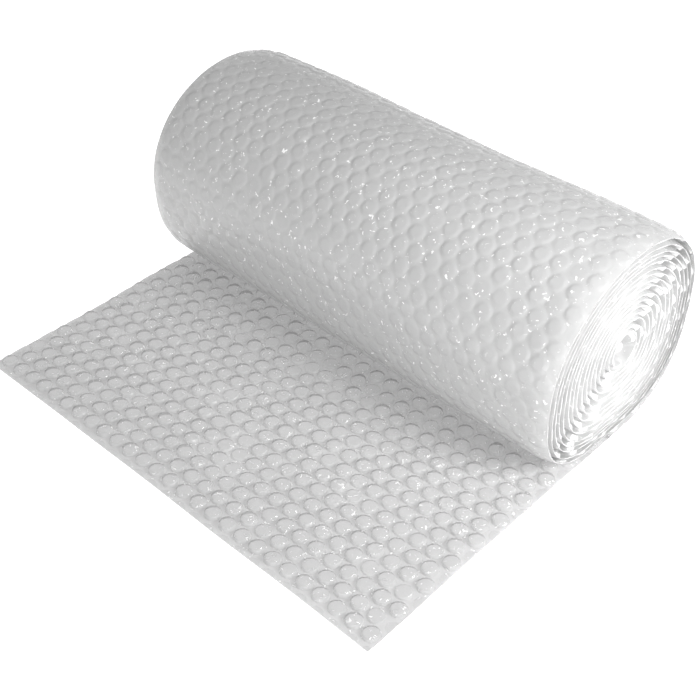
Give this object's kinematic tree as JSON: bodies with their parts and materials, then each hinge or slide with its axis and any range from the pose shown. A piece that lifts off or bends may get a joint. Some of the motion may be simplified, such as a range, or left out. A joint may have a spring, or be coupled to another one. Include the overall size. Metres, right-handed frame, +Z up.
{
  "type": "bubble wrap roll",
  "caption": "Roll of clear bubble cushioning film lying on its side, its loose end pulled out flat in front, for wrapping and padding goods.",
  "frame": {"origin": "on the ground, at the middle of the space that the roll and its tail take up", "axes": "+X along the roll, +Z up, and the tail comes out towards -Y"},
  "size_m": [0.3, 0.2662, 0.1293],
  "materials": {
    "bubble_film": "clear soft film that looks milky white where many turns lie on each other, with small bright glints on the bubbles"
  },
  "bodies": {
    "root": {"bubble_wrap_roll": "bubble_film"}
  },
  "joints": []
}
